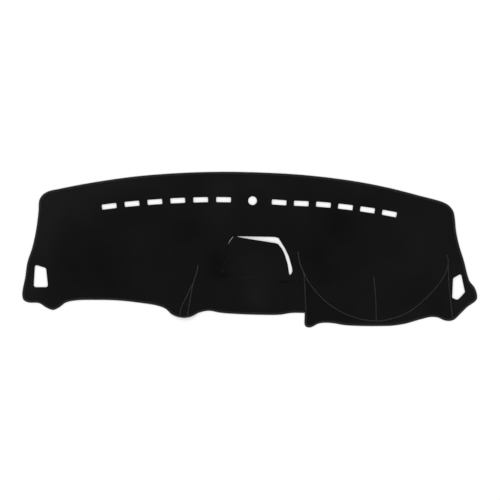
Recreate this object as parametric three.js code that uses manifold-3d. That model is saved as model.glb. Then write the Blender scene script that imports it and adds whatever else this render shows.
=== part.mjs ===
// Dashboard cover mat for a right-hand-drive car, lying on a flat surface as it comes to rest.
// Millimetres. X runs along the windscreen, Y towards it, Z up from the surface that the mat lies on.
// The origin is the middle of the mat's length and depth, on that surface.
import * as THREE from 'three';
import { mergeVertices } from 'three/addons/utils/BufferGeometryUtils.js';
import Module from 'manifold-3d';

const wasm = await Module();
wasm.setup();

// Overall length, and the length that the pattern's points below are drawn for
const matLength = 1400;
const patternLength = 1400;

// Cloth
const clothThickness = 3;
const clothColour = 0x161616;
const clothRoughness = 0.96;

// Clearances
const fitGap = 0.3;
const lidHingeOverlap = 2;

// Overlock thread round the whole outer edge, folded over the squeezed rim of the cloth
const edgeBandWidth = 5;
const edgeThread = 0.5;
const edgeProud = 0.3;
const edgeLift = 0.2;
const threadColour = 0x242424;
const threadRoughness = 0.8;

// Zigzag thread along each flat seam
const seamBandWidth = 3.6;
const seamBandHeight = 0.9;

// Demister vents, punched in two rows along one line, with the light sensor hole between them. The hole sits
// at a share of that line, and each row starts at a gap from it, centre to centre
const ventLength = 45;
const ventWidth = 15.5;
const ventCorner = 2;
const ventsPerRow = 6;
const leftVentPitch = 70.5;
const rightVentPitch = 68.2;
const leftVentGap = 89;
const rightVentGap = 82;
const sensorDiameter = 26.7;
const sensorShare = 0.5067;
const sensorSides = 24;

// How the sewn shape stands off the surface
const hoodRise = 22;
const hoodCentre = [388, -100];
const hoodReach = [215, 130];
const gussetRise = 9;
const gussetTopReach = 22;
const gussetEdgeReach = 62;
const lidLift = 6;
const lidRows = 6;

// Cutting solids reach through the whole height of the cloth
const cutBottom = -3 * clothThickness;
const cutTop = hoodRise + lidLift + 10 * clothThickness;

// Fineness of the model
const clothStep = 20;
const sampleStep = 2;
const chordError = 0.3;
const cornerSteps = 3;

// The outer edge, anticlockwise from the notch beside the hood fascia's tab
const notch = [168.6, -194.6];
const hoodLip = [
  notch, [168, -212], [168, -228], [172, -236.5], [181, -239.4], [193, -237], [208, -228.6], [230, -224.8],
  [254, -226], [290, -231.8], [330, -234.4], [390, -235], [440, -233.6], [480, -227.2], [528, -213.6],
  [556, -207.2], [577, -208.5], [598, -217.2], [613, -219.4], [628, -215.5],
];
const driverEnd = [
  [648, -197], [670, -175.5], [691, -161], [699, -151], [699.8, -141], [692, -116], [677, -97],
  [669.5, -76], [659, -34], [645, 11], [635.2, 56], [630.7, 100], [626, 119.4], [615.2, 134.2],
  [597, 145.8],
];
const windscreenEdge = [
  [520, 167.5], [420, 192.7], [310, 213.4], [155, 231.4], [0, 239.2], [-120, 240], [-245, 234.9],
  [-360, 225.1], [-490, 206.3], [-585, 188.1], [-620, 180],
];
const passengerEnd = [
  [-637.5, 169], [-647.8, 152], [-650.2, 118], [-657.4, 62], [-669, 8], [-684, -38], [-691.3, -86],
  [-698.6, -122], [-699.9, -142], [-694.8, -155.6], [-680, -162.4], [-648, -164.5], [-626, -178],
];
const lowerEdge = [
  [-605, -185.3], [-586, -177.5], [-566, -163], [-535, -156.1], [-470, -154.5], [-405, -156.2],
  [-340, -163.2], [-285, -172], [-259, -182], [-240, -199], [-220, -207], [-198, -209.6], [-178, -205.2],
  [-155, -193.6], [-126, -188], [-90, -194], [-40, -197.8], [20, -200], [90, -200.2], [130, -194.6], notch,
];

// Seam lines. The hood seam runs round the tongue, and ends in a short dart at each top corner
const hoodLeft = [166, -71];
const hoodRight = [609.3, -50];
const hoodLeftDart = [[147.9, -4.5], [153.2, -39], hoodLeft];
const hoodArc = [
  hoodLeft, [181.5, -100.5], [204.5, -129.5], [231.5, -157.5], [259, -178], [293, -196.5], [335, -211],
  [387, -218.8], [437, -211.5], [484, -193], [535, -154.8], [577, -110], [597.5, -80], hoodRight,
];
const hoodRightDart = [hoodRight, [609.8, -33], [604.8, -14]];
const fasciaLeftSeam = [hoodLeft, [168.6, -100], [170.6, -145], [171.4, -188], notch];
const fasciaRightSeam = [hoodRight, [611.3, -88], [613.5, -120], [618.5, -165], [624.5, -225]];
const hoodDart = [[378.5, -81], [383, -120], [386.5, -160], [389, -218.6]];
const gussetTop = [-159.5, -46.5];
const gussetPoint = [-175.5, -107];
const gussetLeftFoot = [-214, -212];
const gussetRightFoot = [-192.5, -214];
const gussetTopDart = [gussetTop, [-162, -64], [-168.5, -85.5], gussetPoint];
const gussetLeftSide = [gussetPoint, [-184, -121], [-191.5, -139], [-210, -177], gussetLeftFoot];
const gussetRightSide = [gussetPoint, [-182.5, -148], [-187, -175], gussetRightFoot];

// The lid flap over the dashboard's centre box: cut on three sides and folded along the fourth
const lidHingeLeft = [-84, -72];
const lidHingeRight = [124, -99];
const lidOpening = [
  [-84.4, -72], [-66.2, 17], [-61.6, 28.4], [-56, 36.6], [-48.4, 42], [-34, 41.4], [67, 39.6], [79.4, 38.8],
  [88.6, 35.6], [108.2, 4], [120, -20.6], [129.6, -54.4], [130.8, -66.5], [128.8, -73.5], [125.6, -78],
  [124.4, -99],
];
const lidEdge = [
  [-84.05, -72], [-65.8, 17], [-60, 27.8], [-54.5, 35.4], [-48.1, 41.5], [-39.8, 41.2], [-36.6, 39.6],
  [-22, 36.8], [81.5, 20.4], [88.2, 17], [98.8, 3.6], [107.8, -14.6], [116.8, -45.2], [121.6, -75],
  [125.2, -78.4], [124.05, -99],
];

// Openings at the two ends, each corner with its own radius
const passengerOpening = [
  [-660.5, -45.5, 9], [-626.3, -56.2, 4], [-620.3, -114.7, 8], [-664.5, -114.7, 8],
];
const driverOpening = [
  [625, -87.5, 3], [649.5, -73, 8], [661.8, -130.5, 3], [639.5, -155, 8], [622.3, -147.5, 3],
];

// The line that the vents and the sensor hole sit on
const ventLine = [
  [-525, 121.5], [-450, 131.5], [-361, 141.6], [-223, 151.3], [-100, 154.3], [8, 151], [112, 144.4],
  [228, 138.6], [362, 122.8], [450, 107.5], [525, 91],
];

// A point of the pattern at the mat's real size
function patternPoint([x, y]) {
  return new THREE.Vector2(x, y).multiplyScalar(matLength / patternLength);
}

// A smooth curve through points of the pattern
function smoothCurve(points) {
  const places = points.map(patternPoint).map(({ x, y }) => new THREE.Vector3(x, y, 0));
  return new THREE.CatmullRomCurve3(places, false, 'centripetal');
}

// How far a point lies from the straight line between two others
function distanceToChord(point, start, end) {
  const along = end.clone().sub(start);
  const across = point.clone().sub(start);
  return Math.abs(along.x * across.y - along.y * across.x) / along.length();
}

// Keeps only the points that a curve needs to stay within the chord error
function thinned(points) {
  let farthest = 0;
  let widest = 0;
  for (let i = 1; i < points.length - 1; i += 1) {
    const distance = distanceToChord(points[i], points[0], points[points.length - 1]);
    if (distance > widest) {
      widest = distance;
      farthest = i;
    }
  }
  if (widest <= chordError) {
    return [points[0], points[points.length - 1]];
  }
  const start = thinned(points.slice(0, farthest + 1));
  const end = thinned(points.slice(farthest));
  return [...start, ...end.slice(1)];
}

// A smooth line through points, as a short list of places
function smoothLine(points) {
  const curve = smoothCurve(points);
  const samples = curve.getSpacedPoints(Math.ceil(curve.getLength() / sampleStep));
  return thinned(samples.map(({ x, y }) => new THREE.Vector2(x, y)));
}

// Two or more lines that share their ends, joined to one
function joinedLines(...lines) {
  return lines.flatMap((line, i) => (i === 0 ? line : line.slice(1)));
}

// The direction to the left of a line at one of its points, long enough to keep both sides parallel
function leftMitre(before, here, after) {
  const arriving = here.clone().sub(before).normalize();
  const leaving = after.clone().sub(here).normalize();
  const left = new THREE.Vector2(-arriving.y - leaving.y, arriving.x + leaving.x).normalize();
  return left.divideScalar(left.x * -arriving.y + left.y * arriving.x);
}

// An open line moved to its left
function offsetLine(line, distance) {
  return line.map((here, i) => {
    const before = line[i - 1] ?? here.clone().add(here).sub(line[i + 1]);
    const after = line[i + 1] ?? here.clone().add(here).sub(line[i - 1]);
    return here.clone().addScaledVector(leftMitre(before, here, after), distance);
  });
}

// A closed anticlockwise loop moved inwards
function insetLoop(loop, distance) {
  return loop.map((here, i) => {
    const before = loop[(i + loop.length - 1) % loop.length];
    const after = loop[(i + 1) % loop.length];
    return here.clone().addScaledVector(leftMitre(before, here, after), distance);
  });
}

// The outline of a strip that follows a line
function stripLoop(line, width) {
  return [...offsetLine(line, -width / 2), ...offsetLine(line, width / 2).reverse()];
}

// A polygon whose corners are rounded, each by its own radius
function roundedPolygon(corners, radii) {
  const shape = new THREE.Shape();
  corners.forEach((corner, i) => {
    const before = corners[(i + corners.length - 1) % corners.length];
    const after = corners[(i + 1) % corners.length];
    const entry = before.clone().sub(corner).setLength(radii[i]).add(corner);
    const exit = after.clone().sub(corner).setLength(radii[i]).add(corner);
    if (i === 0) {
      shape.moveTo(entry.x, entry.y);
    } else {
      shape.lineTo(entry.x, entry.y);
    }
    shape.quadraticCurveTo(corner.x, corner.y, exit.x, exit.y);
  });
  shape.closePath();
  return shape;
}

// A closed solid from a geometry, with its shared corners merged
function solidOf(geometry) {
  const bare = geometry.index ? geometry.toNonIndexed() : geometry.clone();
  bare.deleteAttribute('normal');
  bare.deleteAttribute('uv');
  const merged = mergeVertices(bare);
  const vertProperties = new Float32Array(merged.attributes.position.array);
  const triVerts = new Uint32Array(merged.index.array);
  return new wasm.Manifold(new wasm.Mesh({ numProp: 3, vertProperties, triVerts }));
}

// An upright prism through the whole height of the cloth
function prism(shape) {
  const outline = shape instanceof THREE.Shape ? shape : new THREE.Shape(shape);
  const geometry = new THREE.ExtrudeGeometry(outline, {
    depth: cutTop - cutBottom,
    bevelEnabled: false,
    curveSegments: cornerSteps,
  });
  geometry.translate(0, 0, cutBottom);
  return solidOf(geometry);
}

// A soft rise that is 1 in the middle and runs out level at a distance of 1
function softRise(distance) {
  return distance < 1 ? (1 - distance * distance) ** 2 : 0;
}

// The tongue is domed, because its dart and the curved hood seam take up its edge
const hoodMiddle = patternPoint(hoodCentre);

function hoodDome(x, y) {
  const across = (x - hoodMiddle.x) / hoodReach[0];
  const along = (y - hoodMiddle.y) / hoodReach[1];
  return hoodRise * softRise(Math.hypot(across, along));
}

// The gusset adds width to the lower edge, which lifts into a ripple that widens from the gusset's top
const rippleTop = patternPoint(gussetTop);
const rippleFoot = patternPoint(gussetLeftFoot).lerp(patternPoint(gussetRightFoot), 0.5);

function gussetRipple(x, y) {
  const axis = rippleFoot.clone().sub(rippleTop);
  const place = new THREE.Vector2(x, y).sub(rippleTop);
  const down = THREE.MathUtils.clamp(place.dot(axis) / axis.lengthSq(), 0, 1);
  const across = Math.abs(place.cross(axis)) / axis.length();
  const reach = THREE.MathUtils.lerp(gussetTopReach, gussetEdgeReach, down);
  return gussetRise * THREE.MathUtils.smoothstep(down, 0, 1) * softRise(across / reach);
}

// Height of the cloth's underside
function clothHeight(x, y) {
  return hoodDome(x, y) + gussetRipple(x, y);
}

// The whole outer edge of the mat, anticlockwise
const outerEdge = smoothLine([
  ...hoodLip, ...driverEnd, ...windscreenEdge, ...passengerEnd, ...lowerEdge,
]).slice(0, -1);

// Where the seams run
const arcLine = smoothLine(hoodArc);
const hoodSeamLine = joinedLines(smoothLine(hoodLeftDart), arcLine, smoothLine(hoodRightDart));
const fasciaLeftLine = smoothLine(fasciaLeftSeam);
const fasciaRightLine = smoothLine(fasciaRightSeam);
const hoodDartLine = smoothLine(hoodDart);
const gussetLeftLine = joinedLines(smoothLine(gussetTopDart), smoothLine(gussetLeftSide));
const gussetRightLine = smoothLine(gussetRightSide);
const seamLines = [
  hoodSeamLine, fasciaLeftLine, fasciaRightLine, hoodDartLine, gussetLeftLine, gussetRightLine,
];

// Grid positions between two ends: close together over the spans that curve, and none on the level rest
function gridLines(low, high, spans) {
  const curved = spans.flatMap(([from, to]) => {
    const steps = Math.ceil((to - from) / clothStep);
    return Array.from({ length: steps + 1 }, (_, i) => from + ((to - from) * i) / steps);
  });
  const lines = [...new Set([low, ...curved, high])];
  return lines.filter((line) => line >= low && line <= high).sort((a, b) => a - b);
}

// Everything below a surface that follows the cloth at one level
function under(level) {
  const { min, max } = new THREE.Box2().setFromPoints(outerEdge).expandByScalar(clothStep);
  const columns = gridLines(min.x, max.x, [
    [rippleFoot.x - gussetEdgeReach, Math.max(rippleFoot.x + gussetEdgeReach, rippleTop.x + gussetTopReach)],
    [hoodMiddle.x - hoodReach[0], hoodMiddle.x + hoodReach[0]],
  ]);
  const rows = gridLines(min.y, max.y, [[min.y, Math.max(hoodMiddle.y + hoodReach[1], rippleTop.y)]]);
  const geometry = new THREE.BoxGeometry(1, 1, 1, columns.length - 1, rows.length - 1, 1);
  const position = geometry.attributes.position;
  for (let i = 0; i < position.count; i += 1) {
    const x = columns[Math.round((position.getX(i) + 0.5) * (columns.length - 1))];
    const y = rows[Math.round((position.getY(i) + 0.5) * (rows.length - 1))];
    position.setXYZ(i, x, y, position.getZ(i) > 0 ? level + clothHeight(x, y) : cutBottom);
  }
  return solidOf(geometry);
}

// The part of a solid that lies between two levels of the cloth
function layerOf(solid, low, high) {
  return solid.intersect(under(high)).subtract(under(low));
}

// The cloth before it is cut up: full thickness inside, squeezed thin where the overlock grips it
function wholeCloth() {
  const body = layerOf(prism(insetLoop(outerEdge, edgeBandWidth + fitGap)), 0, clothThickness);
  const rimLow = edgeLift + edgeThread + fitGap;
  const rimHigh = clothThickness + edgeProud - edgeThread - fitGap;
  const rim = layerOf(prism(insetLoop(outerEdge, edgeThread + fitGap)), rimLow, rimHigh);
  return body.add(rim);
}

// The crescent of cloth that hangs in front of the hood, down to the lower edge
function fasciaRegion() {
  const belowLeft = patternPoint(notch).subScalar(clothStep);
  const farLeft = new THREE.Vector2(belowLeft.x, belowLeft.y - 2 * clothStep);
  const rightFoot = fasciaRightLine[fasciaRightLine.length - 1];
  const farRight = new THREE.Vector2(rightFoot.x, farLeft.y);
  return prism([farLeft, farRight, ...fasciaRightLine.toReversed(), ...arcLine.toReversed().slice(1),
    ...fasciaLeftLine.slice(1), belowLeft]);
}

// The narrow wedge let into the lower edge
function gussetRegion() {
  return prism([...smoothLine(gussetLeftSide), ...gussetRightLine.toReversed().slice(0, -1)]);
}

// Hairline cuts along all the seams and darts, so that sewn edges stand side by side
function seamCuts() {
  return seamLines.map((line) => prism(stripLoop(line, fitGap))).reduce((all, cut) => all.add(cut));
}

// A place on the vent line, as a frame that follows the line, at a distance from the sensor hole
function placeOnVentLine(distance) {
  const curve = smoothCurve(ventLine);
  const share = sensorShare + distance / curve.getLength();
  const centre = curve.getPointAt(share);
  const tangent = curve.getTangentAt(share);
  return new THREE.Matrix4().makeRotationZ(Math.atan2(tangent.y, tangent.x)).setPosition(centre);
}

// One vent hole with slightly rounded corners
function ventHole(distance) {
  const [x, y] = [ventLength / 2, ventWidth / 2];
  const frame = placeOnVentLine(distance);
  const corners = [[-x, -y], [x, -y], [x, y], [-x, y]].map(([cornerX, cornerY]) => {
    const corner = new THREE.Vector3(cornerX, cornerY, 0).applyMatrix4(frame);
    return new THREE.Vector2(corner.x, corner.y);
  });
  return prism(roundedPolygon(corners, corners.map(() => ventCorner)));
}

// The two rows of vents
function ventHoles() {
  const holes = [];
  for (let i = 0; i < ventsPerRow; i += 1) {
    holes.push(ventHole(-leftVentGap - i * leftVentPitch));
    holes.push(ventHole(rightVentGap + i * rightVentPitch));
  }
  return holes;
}

// The round hole over the light sensor
function sensorHole() {
  const hole = new THREE.CylinderGeometry(
    sensorDiameter / 2, sensorDiameter / 2, cutTop - cutBottom, sensorSides);
  hole.rotateX(Math.PI / 2);
  hole.translate(0, 0, (cutTop + cutBottom) / 2);
  hole.applyMatrix4(placeOnVentLine(0));
  return solidOf(hole);
}

// The lid flap rises from its fold in a shallow curve, and overlaps the panel a little at the fold
function lidFlap() {
  const left = patternPoint(lidHingeLeft);
  const hinge = patternPoint(lidHingeRight).sub(left);
  const edge = lidEdge.map(patternPoint);
  const depth = Math.max(...edge.map((point) => hinge.cross(point.clone().sub(left)) / hinge.length()));
  const rowDepth = depth / lidRows;
  const width = 2 * hinge.length();
  const geometry = new THREE.BoxGeometry(width, depth + rowDepth, clothThickness, 1, lidRows + 1, 1);
  geometry.translate(hinge.length() / 2, (depth - rowDepth) / 2, clothThickness / 2);
  const position = geometry.attributes.position;
  for (let i = 0; i < position.count; i += 1) {
    const reach = Math.max(position.getY(i), 0) / depth;
    position.setZ(i, position.getZ(i) + lidLift * reach * reach);
  }
  geometry.rotateZ(hinge.angle());
  geometry.translate(left.x, left.y, 0);
  const overlap = new THREE.Vector2(hinge.y, -hinge.x).setLength(lidHingeOverlap);
  const foot = [edge[edge.length - 1].clone().add(overlap), edge[0].clone().add(overlap)];
  return solidOf(geometry).intersect(prism([...edge, ...foot]));
}

// An opening at one end, from the corners drawn for it
function endHole(corners) {
  return prism(roundedPolygon(corners.map(patternPoint), corners.map((corner) => corner[2])));
}

// The main panel, in one piece with the tongue over the hood and the lid flap
function mainPanel(cloth, cuts) {
  const lidHole = prism(lidOpening.map(patternPoint));
  const holes = [...ventHoles(), sensorHole(), endHole(passengerOpening), endHole(driverOpening), lidHole];
  const cut = cloth.subtract(fasciaRegion()).subtract(gussetRegion()).subtract(cuts);
  return holes.reduce((panel, hole) => panel.subtract(hole), cut).add(lidFlap());
}

// The overlock: a band of thread over, round and under the rim
function edgeOverlock() {
  const top = clothThickness + edgeProud;
  const ring = prism(outerEdge).subtract(prism(insetLoop(outerEdge, edgeBandWidth)));
  const grip = layerOf(prism(insetLoop(outerEdge, edgeThread)), edgeLift + edgeThread, top - edgeThread);
  return layerOf(ring, edgeLift, top).subtract(grip);
}

// A flat band of zigzag thread along one seam, stopping clear of the overlock and of another seam
function seamBand(line, crossedLine) {
  const low = clothThickness + fitGap;
  const inside = prism(insetLoop(outerEdge, edgeBandWidth + fitGap));
  const strip = prism(stripLoop(line, seamBandWidth)).intersect(inside);
  const band = layerOf(strip, low, low + seamBandHeight);
  if (!crossedLine) {
    return band;
  }
  return band.subtract(prism(stripLoop(crossedLine, seamBandWidth + 2 * fitGap)));
}

// Dull cloth, which is not a metal
function clothMaterial(name) {
  return new THREE.MeshStandardMaterial({ name, color: clothColour, roughness: clothRoughness });
}

// Sewing thread, a little lighter and smoother than the cloth
function threadMaterial(name) {
  return new THREE.MeshStandardMaterial({ name, color: threadColour, roughness: threadRoughness });
}

// A named mesh from a finished solid
function meshOf(name, solid, material) {
  const { numProp, vertProperties, triVerts } = solid.getMesh();
  const geometry = new THREE.BufferGeometry();
  geometry.setAttribute('position', new THREE.BufferAttribute(new Float32Array(vertProperties), numProp));
  geometry.setIndex(new THREE.BufferAttribute(new Uint32Array(triVerts), 1));
  geometry.computeVertexNormals();
  const mesh = new THREE.Mesh(geometry, material);
  mesh.name = name;
  return mesh;
}

const cloth = wholeCloth();
const cuts = seamCuts();
const mat = new THREE.Group();
mat.add(
  meshOf('main_panel', mainPanel(cloth, cuts), clothMaterial('panel_cloth')),
  meshOf('hood_fascia', cloth.intersect(fasciaRegion()).subtract(cuts), clothMaterial('fascia_cloth')),
  meshOf('gusset', cloth.intersect(gussetRegion()).subtract(cuts), clothMaterial('gusset_cloth')),
  meshOf('edge_overlock', edgeOverlock(), threadMaterial('edge_thread')),
  meshOf('hood_arc_seam', seamBand(hoodSeamLine), threadMaterial('arc_thread')),
  meshOf('hood_left_seam', seamBand(fasciaLeftLine, hoodSeamLine), threadMaterial('left_thread')),
  meshOf('hood_right_seam', seamBand(fasciaRightLine, hoodSeamLine), threadMaterial('right_thread')),
  meshOf('hood_dart_seam', seamBand(hoodDartLine, hoodSeamLine), threadMaterial('dart_thread')),
  meshOf('gusset_left_seam', seamBand(gussetLeftLine), threadMaterial('gusset_left_thread')),
  meshOf('gusset_right_seam', seamBand(gussetRightLine, gussetLeftLine),
    threadMaterial('gusset_right_thread')),
);

export default mat;
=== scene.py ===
import math

import bpy
import numpy as np
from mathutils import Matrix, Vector
from mathutils.geometry import delaunay_2d_cdt


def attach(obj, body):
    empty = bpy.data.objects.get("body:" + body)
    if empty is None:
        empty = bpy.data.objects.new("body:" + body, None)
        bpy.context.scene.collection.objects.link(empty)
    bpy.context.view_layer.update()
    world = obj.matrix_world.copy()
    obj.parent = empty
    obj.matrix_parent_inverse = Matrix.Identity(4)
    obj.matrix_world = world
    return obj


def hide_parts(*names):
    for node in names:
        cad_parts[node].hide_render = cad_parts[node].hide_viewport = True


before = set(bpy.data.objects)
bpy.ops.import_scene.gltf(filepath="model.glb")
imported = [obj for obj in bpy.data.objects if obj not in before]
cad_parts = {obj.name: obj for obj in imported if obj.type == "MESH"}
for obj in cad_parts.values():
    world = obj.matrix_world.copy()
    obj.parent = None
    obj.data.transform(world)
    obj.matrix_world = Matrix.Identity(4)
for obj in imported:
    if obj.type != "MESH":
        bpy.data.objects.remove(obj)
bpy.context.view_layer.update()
scene = bpy.context.scene

# The mat lies flat as it comes to rest. Its pattern is drawn in millimetres, in plan, and every mesh is put
# in in metres. X runs along the windscreen, Y towards it, Z up from the surface that the mat lies on.
metre = 0.001


# A smooth line: each stretch between two points is a cubic whose end slopes come from the points before and
# after, weighted by the square root of their distances. It is then cut into equal steps along its length.
def smoothLine(points, step):
    p = np.asarray(points, float)
    p = np.vstack([2 * p[0] - p[1], p, 2 * p[-1] - p[-2]])
    gap = np.sqrt(np.hypot(*np.diff(p, axis=0).T))[:, None]
    before, start, end, after = p[:-3], p[1:-2], p[2:-1], p[3:]
    d0, d1, d2 = gap[:-2], gap[1:-1], gap[2:]
    leaving = ((start - before) / d0 - (end - before) / (d0 + d1) + (end - start) / d1) * d1
    arriving = ((end - start) / d1 - (after - start) / (d1 + d2) + (after - end) / d2) * d1
    t = np.linspace(0, 1, 60, endpoint=False)[None, :, None]
    s, e, ls, ae = (v[:, None, :] for v in (start, end, leaving, arriving))
    places = s + ls * t + (3 * (e - s) - 2 * ls - ae) * t**2 + (2 * (s - e) + ls + ae) * t**3
    return evenSteps(np.vstack([places.reshape(-1, 2), p[-2]]), step)


# Distance travelled along a line at each of its points
def travelled(line):
    return np.concatenate([[0], np.cumsum(np.linalg.norm(np.diff(line, axis=0), axis=1))])


# Points at equal distances along a line, found between the line's own points
def evenSteps(line, step):
    far = travelled(line)
    wanted = np.linspace(0, far[-1], max(2, round(far[-1] / step) + 1))
    return np.stack([np.interp(wanted, far, line[:, k]) for k in range(line.shape[1])], axis=1)


# The direction to the left of a line at each point, lengthened at corners so that both sides stay parallel
def leftOf(line, closed=False):
    if closed:
        padded = np.vstack([line[-1], line, line[0]])
    else:
        padded = np.vstack([2 * line[0] - line[1], line, 2 * line[-1] - line[-2]])
    way = np.diff(padded, axis=0)
    way /= np.maximum(np.linalg.norm(way, axis=1), 1e-9)[:, None]
    left = np.stack([-way[:, 1], way[:, 0]], axis=1)
    mitre = left[:-1] + left[1:]
    mitre /= np.maximum(np.linalg.norm(mitre, axis=1), 1e-9)[:, None]
    return mitre / np.maximum((mitre * left[1:]).sum(1), 0.45)[:, None]


# Where two lines cross first: the point, and the index of the stretch in each that holds it
def crossing(a, b):
    p, r = a[:-1, None, :], np.diff(a, axis=0)[:, None, :]
    q, s = b[None, :-1, :], np.diff(b, axis=0)[None, :, :]
    cross = r[..., 0] * s[..., 1] - r[..., 1] * s[..., 0]
    cross = np.where(np.abs(cross) < 1e-12, 1e-12, cross)
    gap = q - p
    t = (gap[..., 0] * s[..., 1] - gap[..., 1] * s[..., 0]) / cross
    u = (gap[..., 0] * r[..., 1] - gap[..., 1] * r[..., 0]) / cross
    found = np.argwhere((t >= 0) & (t < 1) & (u >= 0) & (u < 1))
    i, j = found[0]
    return a[i] + t[i, j] * (a[i + 1] - a[i]), i, j


# Distance from each place to the nearest stretch of some lines, and how far along that line the nearest
# point is
def nearest(places, lines):
    starts = np.vstack([line[:-1] for line in lines])
    ways = np.vstack([np.diff(line, axis=0) for line in lines])
    far = np.concatenate([travelled(line)[:-1] for line in lines])
    lengths = np.maximum((ways**2).sum(1), 1e-12)
    distances, alongs = [], []
    for part in np.array_split(places, max(1, len(places) // 1500)):
        gap = part[:, None, :] - starts[None]
        share = np.clip((gap * ways[None]).sum(2) / lengths, 0, 1)
        squared = ((gap - share[..., None] * ways[None]) ** 2).sum(2)
        best = squared.argmin(1)
        rows = np.arange(len(part))
        distances.append(np.sqrt(squared[rows, best]))
        alongs.append(far[best] + share[rows, best] * np.sqrt(lengths[best]))
    return np.concatenate(distances), np.concatenate(alongs)


# True for the places inside a closed loop: a line to the right of such a place crosses it an odd number of
# times
def inside(places, loop):
    ends = np.roll(loop, -1, axis=0)
    x, y = places[:, 0][:, None], places[:, 1][:, None]
    rises = (loop[:, 1][None] > y) != (ends[:, 1][None] > y)
    slope = (ends[:, 0] - loop[:, 0]) / np.where(ends[:, 1] == loop[:, 1], 1e-12, ends[:, 1] - loop[:, 1])
    return (rises & (x < loop[:, 0] + (y - loop[:, 1]) * slope)).sum(1) % 2 == 1


# 0 below the low end, 1 above the high end, and the cubic 3t² - 2t³ between them
def smoothStep(low, high, value):
    t = np.clip((value - low) / (high - low), 0, 1)
    return t * t * (3 - 2 * t)


# A soft rise that is 1 in the middle and runs out level at a distance of 1
def softRise(distance):
    return np.where(distance < 1, (1 - distance**2) ** 2, 0)


# A polygon whose corners are rounded by a quadratic curve, each from its own distance
def roundedPolygon(corners, step):
    c = np.asarray(corners, float)
    here, radius = c[:, :2], c[:, 2:]
    toBefore = np.roll(here, 1, axis=0) - here
    toAfter = np.roll(here, -1, axis=0) - here
    entry = here + toBefore * radius / np.linalg.norm(toBefore, axis=1)[:, None]
    leave = here + toAfter * radius / np.linalg.norm(toAfter, axis=1)[:, None]
    t = np.linspace(0, 1, 7)[None, :, None]
    curve = (1 - t) ** 2 * entry[:, None] + 2 * t * (1 - t) * here[:, None] + t**2 * leave[:, None]
    loop = curve.reshape(-1, 2)
    return evenSteps(np.vstack([loop, loop[0]]), step)[:-1]


# A loop with its first point added at its end
def closedLoop(loop):
    return np.vstack([loop, loop[0]])


# The outer edge, anticlockwise from the notch beside the fascia's tab
pattern = {
    "step": 2.5,
    "notch": [168.6, -194.6],
    "hoodLip": [
        [168, -212], [168, -228], [172, -236.5], [181, -239.4], [193, -237], [208, -228.6], [230, -224.8],
        [254, -226], [290, -231.8], [330, -234.4], [390, -235], [440, -233.6], [480, -227.2], [528, -213.6],
        [556, -207.2], [577, -208.5], [598, -217.2], [613, -219.4], [628, -215.5],
    ],
    "driverEnd": [
        [648, -197], [670, -175.5], [691, -161], [699, -151], [699.8, -141], [692, -116], [677, -97],
        [669.5, -76], [659, -34], [645, 11], [635.2, 56], [630.7, 100], [626, 119.4], [615.2, 134.2],
        [597, 145.8],
    ],
    "windscreenEdge": [
        [520, 167.5], [420, 192.7], [310, 213.4], [155, 231.4], [0, 239.2], [-120, 240], [-245, 234.9],
        [-360, 225.1], [-490, 206.3], [-585, 188.1], [-620, 180],
    ],
    "passengerEnd": [
        [-637.5, 169], [-647.8, 152], [-650.2, 118], [-657.4, 62], [-669, 8], [-684, -38], [-691.3, -86],
        [-698.6, -122], [-699.9, -142], [-694.8, -155.6], [-680, -162.4], [-648, -164.5], [-626, -178],
    ],
    "lowerEdge": [
        [-605, -185.3], [-586, -177.5], [-566, -163], [-535, -156.1], [-470, -154.5], [-405, -156.2],
        [-340, -163.2], [-285, -172], [-259, -182], [-240, -199], [-220, -207], [-198, -209.6],
        [-178, -205.2],
        [-155, -193.6], [-126, -188], [-90, -194], [-40, -197.8], [20, -200], [90, -200.2], [130, -194.6],
    ],
}

# The seams and darts, with the valley that a seam presses into the cloth and the puckers beside it
seams = {
    "hoodLeftDart": [[147.9, -4.5], [153.2, -39], [166, -71]],
    "hoodArc": [
        [166, -71], [181.5, -100.5], [204.5, -129.5], [231.5, -157.5], [259, -178], [293, -196.5],
        [335, -211],
        [387, -218.8], [437, -211.5], [484, -193], [535, -154.8], [577, -110], [597.5, -80], [609.3, -50],
    ],
    "hoodRightDart": [[609.3, -50], [609.8, -33], [604.8, -14]],
    "fasciaLeft": [[166, -71], [168.6, -100], [170.6, -145], [171.4, -188], [168.6, -194.6]],
    "fasciaRight": [[609.3, -50], [611.3, -88], [613.5, -120], [618.5, -165], [624.5, -225]],
    "hoodDart": [[378.5, -81], [383, -120], [386.5, -160], [389, -218.6]],
    "gussetTopDart": [[-159.5, -46.5], [-162, -64], [-168.5, -85.5], [-175.5, -107]],
    "gussetLeft": [[-175.5, -107], [-184, -121], [-191.5, -139], [-210, -177], [-214, -212]],
    "gussetRight": [[-175.5, -107], [-182.5, -148], [-187, -175], [-192.5, -214]],
    "valleyDepth": 1.1,
    "valleyReach": 3.2,
    "puckerHeight": 0.55,
    "puckerPitch": 17,
    "puckerReach": 11,
    "puckerFade": 30,
    "puckerStart": 12,
}

step = pattern["step"]
outerEdge = smoothLine(
    [pattern["notch"], *pattern["hoodLip"], *pattern["driverEnd"], *pattern["windscreenEdge"],
     *pattern["passengerEnd"], *pattern["lowerEdge"], pattern["notch"]], step)
seamNames = [
    "hoodLeftDart", "hoodArc", "hoodRightDart", "fasciaLeft", "fasciaRight", "hoodDart", "gussetTopDart",
    "gussetLeft", "gussetRight",
]
seamLine = {name: smoothLine(seams[name], step) for name in seamNames}
dartNames = ["hoodLeftDart", "hoodRightDart", "hoodDart", "gussetTopDart"]


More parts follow.
